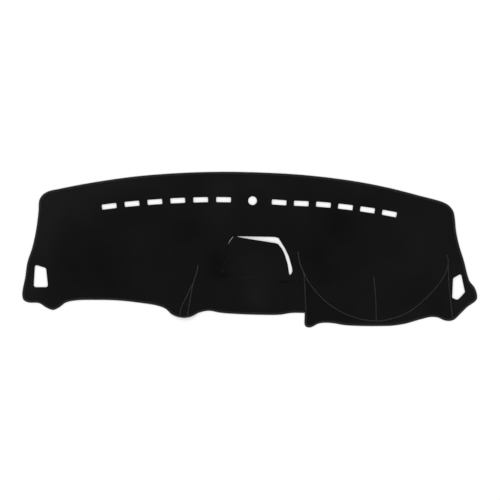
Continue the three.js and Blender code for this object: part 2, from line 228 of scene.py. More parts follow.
# The end openings are corners with their roundings. The vents and the sensor hole lie along one line.
openings = {
    "passenger": [[-660.5, -45.5, 9], [-626.3, -56.2, 4], [-620.3, -114.7, 8], [-664.5, -114.7, 8]],
    "driver": [[625, -87.5, 3], [649.5, -73, 8], [661.8, -130.5, 3], [639.5, -155, 8], [622.3, -147.5, 3]],
    "ventLine": [
        [-525, 121.5], [-450, 131.5], [-361, 141.6], [-223, 151.3], [-100, 154.3], [8, 151], [112, 144.4],
        [228, 138.6], [362, 122.8], [450, 107.5], [525, 91],
    ],
    "ventLength": 45,
    "ventWidth": 15.5,
    "ventCorner": 2,
    "ventsPerRow": 6,
    "leftVentGap": 89,
    "leftVentPitch": 70.5,
    "rightVentGap": 82,
    "rightVentPitch": 68.2,
    "sensorDiameter": 26.7,
    "sensorShare": 0.5067,
}


# Places on the vent line at some distances from the sensor hole, each with the line's direction there
def onVentLine(distances):
    line = smoothLine(openings["ventLine"], 1)
    far = travelled(line)
    distances = np.asarray(distances) + openings["sensorShare"] * far[-1]
    way = np.gradient(line, axis=0)
    way /= np.linalg.norm(way, axis=1)[:, None]
    place = np.stack([np.interp(distances, far, line[:, k]) for k in (0, 1)], axis=1)
    turn = np.stack([np.interp(distances, far, way[:, k]) for k in (0, 1)], axis=1)
    return place, turn


# The outline of each vent: a rectangle turned with the line, with rounded corners
def ventLoops():
    o = openings
    rows = np.arange(o["ventsPerRow"])
    distances = np.concatenate([
        -o["leftVentGap"] - rows * o["leftVentPitch"],
        o["rightVentGap"] + rows * o["rightVentPitch"],
    ])
    places, turns = onVentLine(distances)
    x, y = o["ventLength"] / 2, o["ventWidth"] / 2
    loops = []
    for place, way in zip(places, turns):
        left = np.array([-way[1], way[0]])
        corners = [place + a * way + b * left for a, b in ((-x, -y), (x, -y), (x, y), (-x, y))]
        loops.append(roundedPolygon([[*corner, o["ventCorner"]] for corner in corners], step))
    return loops


# The outline of the sensor hole: points at equal angles on a circle
def sensorLoop():
    place, _ = onVentLine([0])
    angle = np.linspace(0, 2 * math.pi, 36, endpoint=False)
    return place + openings["sensorDiameter"] / 2 * np.stack([np.cos(angle), np.sin(angle)], axis=1)


# The opening is cut in the panel and the edge is the lid's own. They touch, but for the cut, where the gap
# is shut.
lid = {
    "hingeLeft": [-84, -72],
    "hingeRight": [124, -99],
    "opening": [
        [-84.4, -72], [-66.6, 15], [-61.8, 28], [-56, 36.6], [-48.4, 42], [-34, 41.4], [67, 39.6],
        [79.4, 38.8],
        [88.6, 35.6], [108.2, 4], [120, -20.6], [129.6, -54.4], [130.8, -65.5], [128.4, -72], [125, -76.6],
        [124.4, -99],
    ],
    "edge": [
        [-84.34, -72], [-66.54, 15], [-60.3, 27.6], [-54.7, 35.4], [-48.35, 41.93], [-38, 41.5],
        [-36.8, 40],
        [-22, 36.8], [81.5, 20.4], [88.2, 17], [98.8, 3.6], [107.8, -14.6], [116.8, -45.2], [121, -73],
        [122.4, -76.4], [124.94, -76.8], [124.34, -99],
    ],
    "lift": 6,
    "foldDepth": 1.3,
    "foldReach": 3.5,
    "foldBow": 3.2,
    "foldRidge": 0.9,
    "ridgeReach": 9,
    "cutGap": 0.06,
}


# A line of straight stretches that keeps its corners, each stretch cut into even steps
def straightLine(points):
    stretches = [evenSteps(np.array(pair, float), step) for pair in zip(points[:-1], points[1:])]
    return np.vstack([*[stretch[:-1] for stretch in stretches], stretches[-1][-1]])


lidOpening = straightLine(lid["opening"])
lidEdge = straightLine(lid["edge"])
lidGap = np.vstack([lidOpening, lidEdge[::-1]])
holeLoops = [
    *ventLoops(), sensorLoop(), roundedPolygon(openings["passenger"], step),
    roundedPolygon(openings["driver"], step), lidGap,
]


# The fold of the lid bows a little towards the lower edge between its two ends
def foldLine():
    left, right = np.array(lid["hingeLeft"], float), np.array(lid["hingeRight"], float)
    way = right - left
    across = np.array([way[1], -way[0]]) / np.linalg.norm(way)
    share = np.linspace(0, 1, 9)[:, None]
    return smoothLine(left + share * way + lid["foldBow"] * np.sin(math.pi * share) * across, step)


lidFold = foldLine()

# The outer edge in its three parts, between the feet of the seams
rightFoot, rightEdgeIndex, rightSeamIndex = crossing(outerEdge, seamLine["fasciaRight"])
firstFoot, firstEdgeIndex, firstSeamIndex = crossing(outerEdge, seamLine["gussetLeft"])
secondFoot, secondEdgeIndex, secondSeamIndex = crossing(outerEdge, seamLine["gussetRight"])
fasciaEdge = np.vstack([outerEdge[:rightEdgeIndex + 1], rightFoot])
panelEdge = np.vstack([rightFoot, outerEdge[rightEdgeIndex + 1:firstEdgeIndex + 1], firstFoot])
gussetEdge = np.vstack([firstFoot, outerEdge[firstEdgeIndex + 1:secondEdgeIndex + 1], secondFoot])
lastEdge = np.vstack([secondFoot, outerEdge[secondEdgeIndex + 1:]])
rightSeam = np.vstack([seamLine["fasciaRight"][:rightSeamIndex + 1], rightFoot])
gussetLeftSeam = np.vstack([seamLine["gussetLeft"][:firstSeamIndex + 1], firstFoot])
gussetRightSeam = np.vstack([seamLine["gussetRight"][:secondSeamIndex + 1], secondFoot])


# The cloth, in millimetres: its mesh, its edges, and how it stands off the floor
cloth = {
    "thickness": 3,
    "grid": 5,
    "ringReach": [0.45, 1.3, 3.2, 6.4],
    "outerInset": 0.5,
    "seamInset": 0.02,
    "outerRound": 1.1,
    "seamRound": 0.9,
    "cutRound": 0.6,
    "deepestRound": 0.45,
    "rimLift": 0.15,
    "rimSqueeze": 0.75,
    "rimReach": 9,
    "hoodRise": 22,
    "hoodCentre": [388, -100],
    "hoodReach": [215, 130],
    "gussetRise": 9,
    "gussetTopReach": 22,
    "gussetEdgeReach": 62,
    "waveHeight": 0.9,
    "waveStart": 45,
}


# A closed loop from lines that follow each other, moved inwards: little along a seam, more along the outer
# edge
def clothLoop(lines, isEdge):
    loop = np.vstack([line[:-1] for line in lines])
    edge = np.concatenate([np.full(len(line) - 1, flag) for line, flag in zip(lines, isEdge)])
    keep = np.linalg.norm(loop - np.roll(loop, 1, axis=0), axis=1) > 0.6
    loop, edge = loop[keep], edge[keep]
    soft = (edge + np.roll(edge, 1)) / 2
    inset = cloth["seamInset"] + (cloth["outerInset"] - cloth["seamInset"]) * np.where(soft > 0.4, 1, 0)
    return loop + leftOf(loop, closed=True) * inset[:, None]


panelLoop = clothLoop(
    [panelEdge, gussetLeftSeam[::-1], gussetRightSeam, lastEdge, seamLine["fasciaLeft"][::-1],
     seamLine["hoodArc"], rightSeam], [1, 0, 0, 1, 0, 0, 0])
fasciaLoop = clothLoop(
    [fasciaEdge, rightSeam[::-1], seamLine["hoodArc"][::-1], seamLine["fasciaLeft"]], [1, 0, 0, 0])
gussetLoop = clothLoop([gussetEdge, gussetRightSeam[::-1], gussetLeftSeam], [1, 0, 0])
print("pattern drawn:", len(panelLoop), "points round the panel,", len(holeLoops), "openings")


# Height of the underside: a dome under the tongue, and a ripple that widens from the gusset's top to its
# foot
def clothHeight(places):
    across = (places[:, 0] - cloth["hoodCentre"][0]) / cloth["hoodReach"][0]
    along = (places[:, 1] - cloth["hoodCentre"][1]) / cloth["hoodReach"][1]
    dome = cloth["hoodRise"] * softRise(np.hypot(across, along))
    top = np.array(seams["gussetTopDart"][0], float)
    axis = (np.array(seams["gussetLeft"][-1]) + np.array(seams["gussetRight"][-1])) / 2 - top
    gap = places - top
    down = np.clip(gap @ axis / (axis @ axis), 0, 1)
    side = np.abs(gap[:, 0] * axis[1] - gap[:, 1] * axis[0]) / np.linalg.norm(axis)
    reach = cloth["gussetTopReach"] + (cloth["gussetEdgeReach"] - cloth["gussetTopReach"]) * down
    return dome + cloth["gussetRise"] * smoothStep(0, 1, down) * softRise(side / reach)


# Low waves that a cloth keeps when it is laid flat: a sum of sines in several directions, never below zero
def clothWaves(places):
    x, y = places[:, 0], places[:, 1]
    waves = (
        np.sin(x / 71 + 0.6 * np.sin(y / 90)) * np.sin(y / 83 + 1.3)
        + 0.7 * np.sin((x + 0.8 * y) / 47 + 2.1)
        + 0.5 * np.sin((x - 1.3 * y) / 33 + 0.4) * np.sin(x / 160)
    )
    return cloth["waveHeight"] * (waves + 2.2) / 2.2


# How far each place stands up on the lid, from its fold to its free edge
def lidRise(places):
    left, right = np.array(lid["hingeLeft"], float), np.array(lid["hingeRight"], float)
    way = (right - left) / np.linalg.norm(right - left)
    up = np.array([-way[1], way[0]])
    depth = ((np.array(lid["edge"]) - left) @ up).max()
    outline = lidEdge + lid["cutGap"] / 2 * leftOf(lidEdge)
    onLid = inside(places, np.vstack([outline, lidFold[::-1][1:-1]]))
    reach = np.clip((places - left) @ up, 0, None) / depth
    return np.where(onLid, lid["lift"] * reach**2, 0)


# Everything that shapes the cloth at some places in plan: level of the underside and thickness
def clothLevels(places):
    edgeGap, _ = nearest(places, [closedLoop(outerEdge[:-1])])
    seamGap, seamAlong = nearest(places, list(seamLine.values()))
    foldGap, _ = nearest(places, [lidFold])
    low = clothHeight(places) + clothWaves(places) * smoothStep(0, cloth["waveStart"], edgeGap)
    low = low + lidRise(places)
    turn = 2 * math.pi * seamAlong / seams["puckerPitch"]
    pucker = np.sin(turn) * np.exp(-seamGap / seams["puckerReach"])
    fade = np.exp(-seamGap / seams["puckerFade"]) * smoothStep(0, seams["puckerStart"], edgeGap)
    low = low + seams["puckerHeight"] * (pucker + 1) * fade
    low = low + lid["foldRidge"] * np.exp(-((foldGap / lid["ridgeReach"]) ** 2))
    thick = np.full(len(places), float(cloth["thickness"]))
    thick -= seams["valleyDepth"] * np.exp(-((seamGap / seams["valleyReach"]) ** 2))
    thick -= lid["foldDepth"] * np.exp(-((foldGap / lid["foldReach"]) ** 2))
    thick -= cloth["rimSqueeze"] * (1 - smoothStep(overlock["needleIn"] - 0.4, cloth["rimReach"], edgeGap))
    return low, thick, edgeGap, seamGap


# Quarter-circle rounding: nothing at the reach, one radius down at the rim
def roundOff(gap, radius):
    share = np.clip(1 - gap / radius, 0, 1)
    return radius * (1 - np.sqrt(1 - share**2))


# Points in rows beside a line or loop, at each reach to the left and, for an open line, to the right too
def rowsBeside(line, reaches, closed):
    left = leftOf(line, closed)
    rows = []
    for reach in reaches:
        every = 1 if reach < 2 else 2
        rows.append((line + left * reach)[::every])
        if not closed:
            rows.append((line - left * reach)[::every])
    return np.vstack(rows)


# The places of a piece of cloth in plan, joined by triangles: its loops, rows beside them and beside its
# darts, and a lattice of equal triangles over the rest
def planMesh(outline, holes, creases):
    reaches = cloth["ringReach"]
    loops = [outline, *holes]
    edges, count = [], 0
    for loop in loops:
        here = np.arange(len(loop)) + count
        edges.append(np.stack([here, np.roll(here, -1)], axis=1))
        count += len(loop)
    fixed = [*loops]
    for crease in creases:
        here = np.arange(len(crease)) + count
        edges.append(np.stack([here[:-1], here[1:]], axis=1))
        count += len(crease)
        fixed.append(crease)
    closed = [closedLoop(loop) for loop in loops]
    rings = [rowsBeside(outline, reaches, True)]
    rings += [rowsBeside(hole[::-1] if turnsLeft(hole) else hole, reaches, True) for hole in holes]
    rings += [rowsBeside(crease, reaches, False) for crease in creases]
    ring = np.vstack(rings)
    ring = ring[nearest(ring, closed)[0] > 0.8 * reaches[0]]
    low, high = outline.min(0), outline.max(0)
    pitch = cloth["grid"]
    columns = np.arange(low[0], high[0], pitch)
    rows = np.arange(low[1], high[1], pitch * 0.866)
    x, y = np.meshgrid(columns, rows)
    x = x + (np.arange(len(rows)) % 2)[:, None] * pitch / 2
    lattice = np.stack([x.ravel(), y.ravel()], axis=1)
    lattice = lattice[nearest(lattice, closed + creases)[0] > reaches[-1] + 0.6 * pitch]
    free = np.vstack([ring, lattice])
    free = free[inside(free, outline)]
    for hole in holes:
        free = free[~inside(free, hole)]
    places = np.vstack([*fixed, free])
    pairs = np.vstack(edges)
    made = delaunay_2d_cdt(places.tolist(), pairs.tolist(), [], 2, 0.02)
    plan = np.array([(v.x, v.y) for v in made[0]])
    faces = np.array(made[2])
    a, b, c = (plan[faces[:, k]] for k in range(3))
    area = (b[:, 0] - a[:, 0]) * (c[:, 1] - a[:, 1]) - (b[:, 1] - a[:, 1]) * (c[:, 0] - a[:, 0])
    faces[area < 0] = faces[area < 0][:, ::-1]
    keep = np.abs(area) > 1e-6
    middle = (a + b + c) / 3
    for hole in holes:
        keep &= ~inside(middle, hole)
    return tidyMesh(plan, faces[keep])


# Leaves out the places that no triangle uses
def tidyMesh(plan, faces):
    used, numbers = np.unique(faces, return_inverse=True)
    return plan[used], numbers.reshape(-1, 3)


# True for an anticlockwise loop, whose signed area is above zero
def turnsLeft(loop):
    after = np.roll(loop, -1, axis=0)
    return (loop[:, 0] * after[:, 1] - after[:, 0] * loop[:, 1]).sum() > 0


# A mesh from whole arrays: places in metres, and faces of three and of four corners
def meshFrom(name, places, triangles, quads, material, smooth=True):
    mesh = bpy.data.meshes.new(name)
    triangles = np.asarray(triangles, np.int32).reshape(-1, 3)
    quads = np.asarray(quads, np.int32).reshape(-1, 4)
    corners = np.concatenate([triangles.ravel(), quads.ravel()])
    starts = np.concatenate([
        np.arange(len(triangles)) * 3, len(triangles) * 3 + np.arange(len(quads)) * 4,
    ])
    mesh.vertices.add(len(places))
    mesh.vertices.foreach_set("co", np.asarray(places, np.float32).ravel())
    mesh.loops.add(len(corners))
    mesh.loops.foreach_set("vertex_index", corners.astype(np.int32))
    mesh.polygons.add(len(starts))
    mesh.polygons.foreach_set("loop_start", starts.astype(np.int32))
    mesh.polygons.foreach_set("use_smooth", np.full(len(starts), smooth))
    mesh.update(calc_edges=True)
    mesh.validate()
    mesh.materials.append(material)
    made = bpy.data.objects.new(name, mesh)
    scene.collection.objects.link(made)
    return made


# One number for each vertex, for the materials to read
def addValues(made, name, values):
    attribute = made.data.attributes.new(name, "FLOAT", "POINT")
    attribute.data.foreach_set("value", np.asarray(values, np.float32))


# A closed piece of cloth: a top face and an underside over the same plan, joined by a wall round every edge
def clothPiece(name, outline, holes, creases, material, underMaterial):
    plan, faces = planMesh(outline, holes, creases)
    low, thick, edgeGap, seamGap = clothLevels(plan)
    outerGap = np.clip(edgeGap - cloth["outerInset"], 0, None)
    cutGap = nearest(plan, [closedLoop(h) for h in holes])[0] if holes else np.full(len(plan), 99.0)
    seamRim = np.clip(seamGap - cloth["seamInset"], 0, None)
    down = np.maximum(roundOff(outerGap, cloth["outerRound"]), roundOff(cutGap, cloth["cutRound"]))
    onDart = nearest(plan, [seamLine[n] for n in dartNames])[0]
    seamDown = roundOff(seamRim, cloth["seamRound"]) * (onDart > 0.1)
    down = np.minimum(np.maximum(down, seamDown), cloth["deepestRound"] * thick)
    lift = cloth["rimLift"] * (1 - smoothStep(0, cloth["rimReach"], edgeGap))
    top = low + thick + lift - down
    bottom = low + lift * 1.6 + down
    places = np.vstack([np.column_stack([plan, top]), np.column_stack([plan, bottom])]) * metre
    count = len(plan)
    directed = np.vstack([faces[:, [0, 1]], faces[:, [1, 2]], faces[:, [2, 0]]])
    codes = directed[:, 0].astype(np.int64) * count + directed[:, 1]
    backward = directed[:, 1].astype(np.int64) * count + directed[:, 0]
    rim = directed[~np.isin(codes, backward)]
    walls = np.column_stack([rim[:, 0], rim[:, 0] + count, rim[:, 1] + count, rim[:, 1]])
    made = meshFrom(name, places, np.vstack([faces, faces[:, ::-1] + count]), walls, material)
    made.data.materials.append(underMaterial)
    kinds = np.zeros(len(made.data.polygons), np.int32)
    kinds[len(faces):2 * len(faces)] = 1
    made.data.polygons.foreach_set("material_index", kinds)
    addValues(made, "edgeGap", np.tile(np.minimum(outerGap, cutGap), 2))
    addValues(made, "seamGap", np.tile(seamGap, 2))
    addValues(made, "paintedNapSheenAndShade", np.tile(paintedNapSheenAndShade(plan), 2))
    print(name, len(made.data.vertices), "vertices", len(made.data.polygons), "faces")
    return made


nap = {
    # middle, reach and strength of soft patches of painted sheen and shade, lighter or darker where the
    # pile's nap leans another way
    "patches": [
        [-585, 160, 95, 75, 0.34], [-640, 45, 50, 100, 0.34], [-678, -110, 34, 60, 0.3],
        [-380, 205, 120, 26, 0.12], [-88, 165, 44, 95, 0.2], [60, 205, 240, 34, 0.12],
        [19, -140, 44, 50, 0.26], [20, -30, 95, 55, 0.06],
        [548, 40, 95, 120, 0.14], [655, -120, 50, 90, 0.3], [400, 190, 140, 24, 0.06],
        [-485, -32, 125, 78, -0.2], [-450, -105, 70, 44, -0.1], [-185, 62, 82, 50, -0.2],
        [-101, -45, 36, 56, -0.26], [270, 72, 50, 60, -0.22], [208, -30, 52, 72, -0.34],
        [390, -228, 130, 12, 0.3], [500, -205, 80, 34, 0.2], [-455, 185, 130, 40, 0.14],
    ],
    # the same for painted shade in the lid's crease and a painted highlight where its ridge catches the
    # light
    "creases": [
        [-78, -79, 17, 8, -0.32], [106, -99, 19, 4, -0.34], [12, -89.5, 7, 2.4, -0.3],
        [-4, -84.5, 22, 3, 0.3],
    ],
}


# Painted sheen and shade of the pile at each place: a sum of soft patches
def paintedNapSheenAndShade(places):
    tone = np.zeros(len(places))
    for x, y, acrossReach, alongReach, strength in [*nap["patches"], *nap["creases"]]:
        away = np.hypot((places[:, 0] - x) / acrossReach, (places[:, 1] - y) / alongReach)
        tone += strength * np.exp(-(away**2))
    return tone


# A round thread carried along a path. The reference directions set how its round profile is turned.
def threadTube(name, path, reference, radius, sides, closed, material):
    if closed:
        way = np.roll(path, -1, axis=0) - np.roll(path, 1, axis=0)
    else:
        way = np.gradient(path, axis=0)
    way /= np.maximum(np.linalg.norm(way, axis=1), 1e-9)[:, None]
    across = reference - (reference * way).sum(1)[:, None] * way
    across /= np.maximum(np.linalg.norm(across, axis=1), 1e-9)[:, None]
    upward = np.cross(way, across)
    angle = np.linspace(0, 2 * math.pi, sides, endpoint=False)
    ring = np.cos(angle)[None, :, None] * across[:, None] + np.sin(angle)[None, :, None] * upward[:, None]
    places = (path[:, None] + radius * ring).reshape(-1, 3) * metre
    count = len(path)
    i = np.arange(count if closed else count - 1)[:, None]
    j = np.arange(sides)[None, :]
    nextRow, nextSide = (i + 1) % count, (j + 1) % sides
    quads = np.stack([
        i * sides + j, i * sides + nextSide + 0 * i, nextRow * sides + nextSide, nextRow * sides + j,
    ], axis=-1).reshape(-1, 4)
    turn = np.arange(1, sides - 1)
    first = np.column_stack([0 * turn, turn + 1, turn])
    last = np.column_stack([0 * turn, turn, turn + 1]) + (count - 1) * sides
    caps = [] if closed else np.vstack([first, last])
    made = meshFrom(name, places, caps, quads, material)
    far = travelled(np.vstack([path, path[0]]) if closed else path)
    u0, u1 = far[:-1], far[1:]
    v0, v1 = j[0] / sides, (j[0] + 1) / sides
    corners = np.stack([
        np.stack([np.repeat(u0, sides), np.tile(v0, len(u0))], axis=1),
        np.stack([np.repeat(u0, sides), np.tile(v1, len(u0))], axis=1),
        np.stack([np.repeat(u1, sides), np.tile(v1, len(u0))], axis=1),
        np.stack([np.repeat(u1, sides), np.tile(v0, len(u0))], axis=1),
    ], axis=1)
    capCorners = np.zeros(0) if closed else np.repeat([[0, 0], [far[-1], 0]], 3 * len(turn), axis=0)
    run = np.concatenate([capCorners.ravel(), corners.ravel()])
    made.data.uv_layers.new(name="alongThread").data.foreach_set("uv", run.astype(np.float32))
    print(name, len(made.data.vertices), "vertices", len(made.data.polygons), "faces")
    return made


overlock = {
    "pitch": 2.8,
    "needleIn": 6.8,
    "threadRadius": 0.42,
    "sides": 5,
    "top": 3.15,
    "bottom": 0.45,
}


# Overlock: for each stitch the thread goes out over the rim, down round it, back under it and up through
# the cloth
def overlockPath():
    o = overlock
    edge = closedLoop(outerEdge[:-1])
    count = round(travelled(edge)[-1] / o["pitch"])
    out = o["threadRadius"]
    middle = (o["top"] + o["bottom"]) / 2
    needle = o["needleIn"]
    inward = np.array([
        needle, 0.6 * needle, 1.4, out + 0.15, out, out + 0.15,
        1.4, 0.6 * needle, needle + 0.2, needle + 0.3, needle,
    ])
    top, bottom = o["top"], o["bottom"]
    height = np.array([
        top, top + 0.05, top - 0.1, top - 0.55, middle, bottom + 0.5,
        bottom + 0.05, bottom, bottom + 0.1, middle, top - 0.1,
    ])
    along = np.array([0, 0.12, 0.24, 0.33, 0.36, 0.39, 0.46, 0.54, 0.6, 0.62, 0.64])
    stations = ((np.arange(count)[:, None] + along[None]) / count * travelled(edge)[-1]).ravel()
    stations = stations % travelled(edge)[-1]
    far = travelled(edge)
    left = leftOf(outerEdge[:-1], closed=True)
    left = np.vstack([left, left[0]])
    plan = np.stack([np.interp(stations, far, edge[:, k]) for k in (0, 1)], axis=1)
    side = np.stack([np.interp(stations, far, left[:, k]) for k in (0, 1)], axis=1)
    way = np.column_stack([side[:, 1], -side[:, 0], np.zeros(len(side))])
    plan = plan + side * np.tile(inward, count)[:, None]
    level = clothHeight(plan)
    return np.column_stack([plan, level + np.tile(height, count)]), way


zigzag = {
    "pitch": 2.6,
    "reach": 2.3,
    "threadRadius": 0.36,
    "sides": 5,
    "stand": 0.35,
    # strength of the painted highlight where a dart lifts the thread off the pile
    "dartLiftHighlight": 0.6,
    "stopIn": 7.2,
}


# Zigzag: for each stitch the thread crosses the seam and dips into the cloth on either side of it
def zigzagPath(line, z=zigzag):
    count = round(travelled(line)[-1] / z["pitch"])
    aside = np.array([1, 0.5, -0.5, -1, -0.5, 0.5]) * z["reach"]
    height = np.array([-0.55, 0.12, 0.12, -0.55, 0.12, 0.12]) + z["stand"]
    along = np.array([0, 0.17, 0.33, 0.5, 0.67, 0.83])
    stations = ((np.arange(count)[:, None] + along[None]) / count).ravel() * travelled(line)[-1]
    far, left = travelled(line), leftOf(line)
    plan = np.stack([np.interp(stations, far, line[:, k]) for k in (0, 1)], axis=1)
    side = np.stack([np.interp(stations, far, left[:, k]) for k in (0, 1)], axis=1)
    plan = plan + side * np.tile(aside, count)[:, None]
    level = clothLevels(plan)[0] + cloth["thickness"]
    return np.column_stack([plan, level + np.tile(height, count)])


# The stretch of a line that stays clear of the overlock at the outer edge
def clearOfEdge(line):
    fine = evenSteps(line, 0.5)
    gap, _ = nearest(fine, [closedLoop(outerEdge[:-1])])
    return fine[inside(fine, outerEdge[:-1]) & (gap > zigzag["stopIn"])]


# The thread of one seam along one or more lines that share their ends, with a painted highlight where a
# dart lifts it off the pile
def seamThread(name, lines, material):
    joined = np.vstack([lines[0], *[line[1:] for line in lines[1:]]])
    path = zigzagPath(evenSteps(clearOfEdge(joined), 1.5))
    upward = np.tile([0.0, 0.0, 1.0], (len(path), 1))
    made = threadTube(name, path, upward, zigzag["threadRadius"], zigzag["sides"], False, material)
    # painted highlight where a dart lifts the thread, fading within a few millimetres of the dart
    away = nearest(path[:, :2], [seamLine["hoodLeftDart"], seamLine["gussetTopDart"]])[0]
    addValues(made, "dartLiftHighlight", np.repeat(zigzag["dartLiftHighlight"] * np.exp(-((away / 4) ** 2)), zigzag["sides"]))
    return made


# A shader node group from the names, kinds and first values of its sockets
def newGroup(name, inputs, outputs):
    group = bpy.data.node_groups.new(name, "ShaderNodeTree")
    for socketName, kind, value in inputs:
        socket = group.interface.new_socket(name=socketName, in_out="INPUT", socket_type=kind)
        if value is not None:
            socket.default_value = value
    for socketName, kind in outputs:
        group.interface.new_socket(name=socketName, in_out="OUTPUT", socket_type=kind)
    return group, group.nodes.new("NodeGroupInput"), group.nodes.new("NodeGroupOutput")


# One step of arithmetic on two sockets or numbers
def mathNode(tree, operation, first, second):
    node = tree.nodes.new("ShaderNodeMath")
    node.operation = operation
    for socket, value in zip(node.inputs, (first, second)):
        if isinstance(value, (int, float)):
            socket.default_value = value
        else:
            tree.links.new(value, socket)
    return node.outputs[0]


# Noise over some coordinates, from 0 to 1
def noiseNode(tree, vector, scale, detail, roughness):
    node = tree.nodes.new("ShaderNodeTexNoise")
    node.inputs["Detail"].default_value = detail
    node.inputs["Roughness"].default_value = roughness
    tree.links.new(vector, node.inputs["Vector"])
    if isinstance(scale, (int, float)):
        node.inputs["Scale"].default_value = scale
    else:
        tree.links.new(scale, node.inputs["Scale"])
    return node.outputs["Fac"]


pileLook = {
    "dark": (0.0035, 0.0035, 0.0035, 1),
    "light": (0.0112, 0.0112, 0.0113, 1),
    "fibreScale": 900.0,
    "tuftScale": 260.0,
    "driftScale": 7.0,
    "fibreShare": 0.45,
    "tuftShare": 0.55,
    "driftDepth": 0.5,
    "middleTone": 0.33,
    "tuftDepth": 0.9,
    # painted shade towards the seams: its depth, and how fast it falls off per millimetre
    "seamShade": -0.25,
    "seamFade": -0.35,
    "bumpDistance": 0.0009,
    "bumpStrength": 0.6,
    "specular": 0.02,
    "sheen": 0.01,
    "sheenRoughness": 0.45,
}


# Short cut pile: fine fibres, small tufts and broad drifts of its nap, each from noise at its own scale
def pileGroup():
    group, given, out = newGroup(
        "shortPile",
        [("Coordinates", "NodeSocketVector", None), ("Tone", "NodeSocketFloat", 0.0),
         ("Dark", "NodeSocketColor", pileLook["dark"]), ("Light", "NodeSocketColor", pileLook["light"]),
         ("Fibre Scale", "NodeSocketFloat", pileLook["fibreScale"]),
         ("Tuft Scale", "NodeSocketFloat", pileLook["tuftScale"]),
         ("Drift Scale", "NodeSocketFloat", pileLook["driftScale"])],
        [("Color", "NodeSocketColor"), ("Roughness", "NodeSocketFloat"), ("Height", "NodeSocketFloat")])
    vector = given.outputs["Coordinates"]
    fibre = noiseNode(group, vector, given.outputs["Fibre Scale"], 2, 0.6)
    tuft = noiseNode(group, vector, given.outputs["Tuft Scale"], 3, 0.6)
    drift = noiseNode(group, vector, given.outputs["Drift Scale"], 3, 0.5)
    height = mathNode(
        group, "ADD", mathNode(group, "MULTIPLY", fibre, pileLook["fibreShare"]),
        mathNode(group, "MULTIPLY", tuft, pileLook["tuftShare"]))
    drifts = mathNode(group, "MULTIPLY", mathNode(group, "SUBTRACT", drift, 0.5), pileLook["driftDepth"])
    tufts = mathNode(group, "MULTIPLY", mathNode(group, "SUBTRACT", height, 0.5), pileLook["tuftDepth"])
    tone = mathNode(group, "ADD", drifts, pileLook["middleTone"])
    # the given tone brings in the nap's painted sheen and shade and the painted shade at the seams
    tone = mathNode(group, "ADD", tone, given.outputs["Tone"])
    tone = mathNode(group, "ADD", tone, tufts)
    clamp = group.nodes.new("ShaderNodeClamp")
    group.links.new(tone, clamp.inputs["Value"])
    mix = group.nodes.new("ShaderNodeMix")
    mix.data_type = "RGBA"
    group.links.new(clamp.outputs[0], mix.inputs["Factor"])
    group.links.new(given.outputs["Dark"], mix.inputs["A"])
    group.links.new(given.outputs["Light"], mix.inputs["B"])
    group.links.new(mix.outputs["Result"], out.inputs["Color"])
    rough = mathNode(group, "ADD", mathNode(group, "MULTIPLY", tuft, 0.12), 0.86)
    group.links.new(rough, out.inputs["Roughness"])
    group.links.new(height, out.inputs["Height"])
    return group


threadLook = {
    # each thread's colour in painted shade and in painted highlight, mixed along its twist
    "overlockDark": (0.022, 0.022, 0.023),
    "overlockLight": (0.062, 0.062, 0.064),
    "seamDark": (0.017, 0.017, 0.018),
    "seamLight": (0.046, 0.046, 0.048),
    "turns": 0.7,
    "bumpDistance": 0.0001,
    "bumpStrength": 0.5,
    "specular": 0.3,
}


# Twist of a sewing thread: a band that winds round as it runs along, with a painted highlight on its crest
# and painted shade in its groove
def twistGroup():
    group, given, out = newGroup(
        "threadTwist",
        [("Along", "NodeSocketFloat", 0.0), ("Around", "NodeSocketFloat", 0.0),
         ("Tone", "NodeSocketFloat", 0.0),
         ("Turns", "NodeSocketFloat", threadLook["turns"]),
         ("Dark", "NodeSocketColor", (*threadLook["seamDark"], 1)),
         ("Light", "NodeSocketColor", (*threadLook["seamLight"], 1))],
        [("Color", "NodeSocketColor"), ("Roughness", "NodeSocketFloat"), ("Height", "NodeSocketFloat")])
    wound = mathNode(group, "MULTIPLY", given.outputs["Along"], given.outputs["Turns"])
    phase = mathNode(group, "ADD", wound, given.outputs["Around"])
    wave = mathNode(group, "SINE", mathNode(group, "MULTIPLY", phase, 4 * math.pi), 0)
    wave = mathNode(group, "ADD", mathNode(group, "MULTIPLY", wave, 0.5), 0.5)
    mix = group.nodes.new("ShaderNodeMix")
    mix.data_type = "RGBA"
    group.links.new(mathNode(group, "ADD", wave, given.outputs["Tone"]), mix.inputs["Factor"])
    group.links.new(given.outputs["Dark"], mix.inputs["A"])
    group.links.new(given.outputs["Light"], mix.inputs["B"])
    group.links.new(mix.outputs["Result"], out.inputs["Color"])
    rough = mathNode(group, "SUBTRACT", 0.75, mathNode(group, "MULTIPLY", wave, 0.2))
    group.links.new(rough, out.inputs["Roughness"])
    group.links.new(wave, out.inputs["Height"])
    return group


# A material with its tree and its shader
def newMaterial(name):
    material = bpy.data.materials.new(name)
    material.use_nodes = True
    tree = material.node_tree
    return material, tree, tree.nodes["Principled BSDF"]


# A height that turns the shader's normal
def addBump(tree, shader, height, distance, strength):
    bump = tree.nodes.new("ShaderNodeBump")
    bump.inputs["Distance"].default_value = distance
    bump.inputs["Strength"].default_value = strength
    tree.links.new(height, bump.inputs["Height"])
    tree.links.new(bump.outputs["Normal"], shader.inputs["Normal"])


# The number that a piece keeps for each vertex
def readValue(tree, name):
    node = tree.nodes.new("ShaderNodeAttribute")
    node.attribute_name = name
    return node.outputs["Fac"]


pile = pileGroup()
twist = twistGroup()
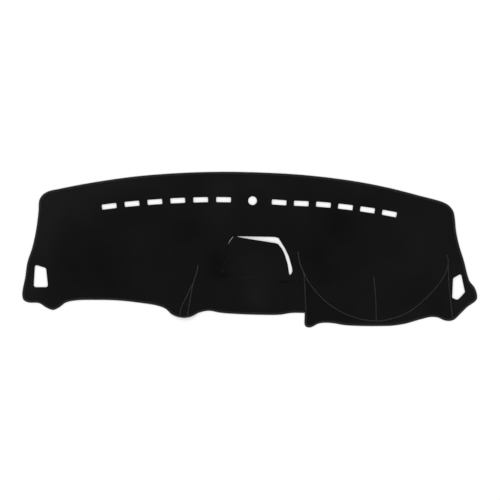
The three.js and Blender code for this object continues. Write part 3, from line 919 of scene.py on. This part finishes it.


# One piece's pile: its tone is the nap's painted sheen and shade, shifted for the piece, and darkened by
# painted shade towards the seams by a falling exponential. The drifts of its nap are turned from one piece
# to the next.
def pileMaterial(name, toneShift, driftTurn):
    material, tree, shader = newMaterial(name)
    place = tree.nodes.new("ShaderNodeTexCoord")
    turn = tree.nodes.new("ShaderNodeMapping")
    turn.inputs["Rotation"].default_value = (0, 0, driftTurn)
    tree.links.new(place.outputs["Object"], turn.inputs["Vector"])
    group = tree.nodes.new("ShaderNodeGroup")
    group.node_tree = pile
    tree.links.new(turn.outputs["Vector"], group.inputs["Coordinates"])
    tone = mathNode(tree, "ADD", readValue(tree, "paintedNapSheenAndShade"), toneShift)
    # painted shade in the seam valleys, strongest at the seam and falling off by an exponential away from
    # it
    seamShade = mathNode(tree, "MULTIPLY", readValue(tree, "seamGap"), pileLook["seamFade"])
    seamShade = mathNode(tree, "MULTIPLY", mathNode(tree, "EXPONENT", seamShade, 0), pileLook["seamShade"])
    tree.links.new(mathNode(tree, "ADD", tone, seamShade), group.inputs["Tone"])
    tree.links.new(group.outputs["Color"], shader.inputs["Base Color"])
    tree.links.new(group.outputs["Roughness"], shader.inputs["Roughness"])
    addBump(tree, shader, group.outputs["Height"], pileLook["bumpDistance"], pileLook["bumpStrength"])
    shader.inputs["Specular IOR Level"].default_value = pileLook["specular"]
    shader.inputs["Sheen Weight"].default_value = pileLook["sheen"]
    shader.inputs["Sheen Roughness"].default_value = pileLook["sheenRoughness"]
    return material


backingLook = {
    "dotScale": 140,
    "dotInner": 0.24,
    "dotOuter": 0.3,
    "dotTone": (0.035, 0.035, 0.036, 1),
    "weaveScale": 700,
    "weaveDark": (0.012, 0.012, 0.0125, 1),
    "weaveLight": (0.024, 0.024, 0.025, 1),
    "weaveHeight": 0.25,
    "bumpDistance": 0.0008,
    "bumpStrength": 0.7,
    "specular": 0.3,
}


# The underside: a smooth short backing with rows of small raised rubber dots that keep the mat from sliding
def backingMaterial():
    material, tree, shader = newMaterial("slipFreeBacking")
    place = tree.nodes.new("ShaderNodeTexCoord")
    cells = tree.nodes.new("ShaderNodeTexVoronoi")
    cells.voronoi_dimensions = "2D"
    cells.inputs["Scale"].default_value = backingLook["dotScale"]
    cells.inputs["Randomness"].default_value = 0
    tree.links.new(place.outputs["Object"], cells.inputs["Vector"])
    dot = tree.nodes.new("ShaderNodeMapRange")
    dot.inputs["From Min"].default_value = backingLook["dotInner"]
    dot.inputs["From Max"].default_value = backingLook["dotOuter"]
    dot.inputs["To Min"].default_value = 1
    dot.inputs["To Max"].default_value = 0
    tree.links.new(cells.outputs["Distance"], dot.inputs["Value"])
    weave = noiseNode(tree, place.outputs["Object"], backingLook["weaveScale"], 2, 0.5)
    base = tree.nodes.new("ShaderNodeMix")
    base.data_type = "RGBA"
    base.inputs["A"].default_value = backingLook["weaveDark"]
    base.inputs["B"].default_value = backingLook["weaveLight"]
    tree.links.new(weave, base.inputs["Factor"])
    mix = tree.nodes.new("ShaderNodeMix")
    mix.data_type = "RGBA"
    mix.inputs["B"].default_value = backingLook["dotTone"]
    tree.links.new(dot.outputs["Result"], mix.inputs["Factor"])
    tree.links.new(base.outputs["Result"], mix.inputs["A"])
    tree.links.new(mix.outputs["Result"], shader.inputs["Base Color"])
    rough = mathNode(tree, "SUBTRACT", 0.92, mathNode(tree, "MULTIPLY", dot.outputs["Result"], 0.4))
    tree.links.new(rough, shader.inputs["Roughness"])
    woven = mathNode(tree, "MULTIPLY", weave, backingLook["weaveHeight"])
    raised = mathNode(tree, "ADD", dot.outputs["Result"], woven)
    addBump(tree, shader, raised, backingLook["bumpDistance"], backingLook["bumpStrength"])
    shader.inputs["Specular IOR Level"].default_value = backingLook["specular"]
    return material


# A thread, with painted shade in its twist and a painted highlight on its crests and where a dart lifts it
def threadMaterial(name, dark, light):
    material, tree, shader = newMaterial(name)
    run = tree.nodes.new("ShaderNodeUVMap")
    run.uv_map = "alongThread"
    split = tree.nodes.new("ShaderNodeSeparateXYZ")
    tree.links.new(run.outputs["UV"], split.inputs["Vector"])
    group = tree.nodes.new("ShaderNodeGroup")
    group.node_tree = twist
    tree.links.new(split.outputs["X"], group.inputs["Along"])
    tree.links.new(split.outputs["Y"], group.inputs["Around"])
    tree.links.new(readValue(tree, "dartLiftHighlight"), group.inputs["Tone"])
    group.inputs["Dark"].default_value = (*dark, 1)
    group.inputs["Light"].default_value = (*light, 1)
    tree.links.new(group.outputs["Color"], shader.inputs["Base Color"])
    tree.links.new(group.outputs["Roughness"], shader.inputs["Roughness"])
    addBump(tree, shader, group.outputs["Height"], threadLook["bumpDistance"], threadLook["bumpStrength"])
    shader.inputs["Specular IOR Level"].default_value = threadLook["specular"]
    return material


panelPile = pileMaterial("panelPile", 0.0, 0.0)
fasciaPile = pileMaterial("fasciaPile", -0.06, 1.9)
gussetPile = pileMaterial("gussetPile", -0.02, 0.8)
backing = backingMaterial()
edgeThread = threadMaterial("overlockThread", threadLook["overlockDark"], threadLook["overlockLight"])
seamYarn = threadMaterial("seamThread", threadLook["seamDark"], threadLook["seamLight"])
print("materials made")

foldInside = lidFold[2:-2]
insetDart = [
    seamLine["hoodLeftDart"][:-1], seamLine["hoodRightDart"][1:], seamLine["hoodDart"][:-1],
    seamLine["gussetTopDart"][:-1],
]
panel = clothPiece("mainPanelCloth", panelLoop, holeLoops, [*insetDart, foldInside], panelPile, backing)
fascia = clothPiece("hoodFasciaCloth", fasciaLoop, [], [], fasciaPile, backing)
gusset = clothPiece("gussetCloth", gussetLoop, [], [], gussetPile, backing)

path, way = overlockPath()
edgeLoops = threadTube(
    "edgeOverlockThread", path, way, overlock["threadRadius"], overlock["sides"], True, edgeThread)
threads = {
    "hood_arc_seam": seamThread(
        "hoodArcSeamThread",
        [seamLine["hoodLeftDart"], seamLine["hoodArc"], seamLine["hoodRightDart"]], seamYarn),
    "hood_left_seam": seamThread("hoodLeftSeamThread", [seamLine["fasciaLeft"]], seamYarn),
    "hood_right_seam": seamThread("hoodRightSeamThread", [seamLine["fasciaRight"]], seamYarn),
    "hood_dart_seam": seamThread("hoodDartSeamThread", [seamLine["hoodDart"]], seamYarn),
    "gusset_left_seam": seamThread(
        "gussetLeftSeamThread", [seamLine["gussetTopDart"], seamLine["gussetLeft"]], seamYarn),
    "gusset_right_seam": seamThread("gussetRightSeamThread", [seamLine["gussetRight"]], seamYarn),
}
print("threads sewn")

for piece, node, slotName in [(panel, "main_panel", "cloth"), (fascia, "hood_fascia", "cloth"),
                              (gusset, "gusset", "cloth"), (edgeLoops, "edge_overlock", "thread"),
                              *[(made, node, "thread") for node, made in threads.items()]]:
    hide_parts(node)
    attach(piece, "root")

# Floor, lights and camera
studio = {
    "lookAt": (0.00069, -0.00061, 0.003),
    "viewWidth": 1.5372,
    "lens": 120,
    "sensor": 36,
    "farthest": 100,
    "floorSize": 60,
    "floorLevel": -0.0004,
    "floorTone": 0.7,
    "floorGlow": 0.26,
    "keyLight": [(-2.2, 2.6, 3.4), 2.6, 62],
    "fillLight": [(2.6, -2.0, 3.2), 3.0, 48],
    "skyStrength": 0.8,
}


# A wide level square, just below the mat, that glows a little so that it stays white
def studioFloor():
    material, tree, shader = newMaterial("paleFloor")
    shader.inputs["Base Color"].default_value = (*[studio["floorTone"]] * 3, 1)
    shader.inputs["Roughness"].default_value = 0.9
    shader.inputs["Emission Color"].default_value = (1, 1, 1, 1)
    shader.inputs["Emission Strength"].default_value = studio["floorGlow"]
    half, level = studio["floorSize"] / 2, studio["floorLevel"]
    places = [(x * half, y * half, level) for x, y in ((-1, -1), (1, -1), (1, 1), (-1, 1))]
    floor = meshFrom("floor", places, [], [[0, 1, 2, 3]], material, smooth=False)


# A square lamp that faces the mat and isn't seen itself
def softLight(name, place, size, power):
    lamp = bpy.data.lights.new(name, "AREA")
    lamp.shape = "SQUARE"
    lamp.size = size
    lamp.energy = power
    made = bpy.data.objects.new(name, lamp)
    made.location = place
    back = -np.array(place) / np.linalg.norm(place)
    made.rotation_mode = "QUATERNION"
    made.rotation_quaternion = Vector(back).to_track_quat("-Z", "Y")
    made.visible_camera = False
    scene.collection.objects.link(made)


studioFloor()
softLight("keyLight", *studio["keyLight"])
softLight("fillLight", *studio["fillLight"])
world = bpy.data.worlds.new("studioWorld")
world.use_nodes = True
world.node_tree.nodes["Background"].inputs["Color"].default_value = (1, 1, 1, 1)
world.node_tree.nodes["Background"].inputs["Strength"].default_value = studio["skyStrength"]
scene.world = world
scene.view_settings.view_transform = "Standard"

eye = bpy.data.cameras.new("overheadCamera")
eye.lens = studio["lens"]
eye.sensor_width = studio["sensor"]
camera = bpy.data.objects.new("overheadCamera", eye)
distance = studio["viewWidth"] * studio["lens"] / studio["sensor"]
camera.location = Vector(studio["lookAt"]) + Vector((0, 0, distance))
eye.clip_end = studio["farthest"]
scene.collection.objects.link(camera)
scene.camera = camera
print("floor, lights and camera set")
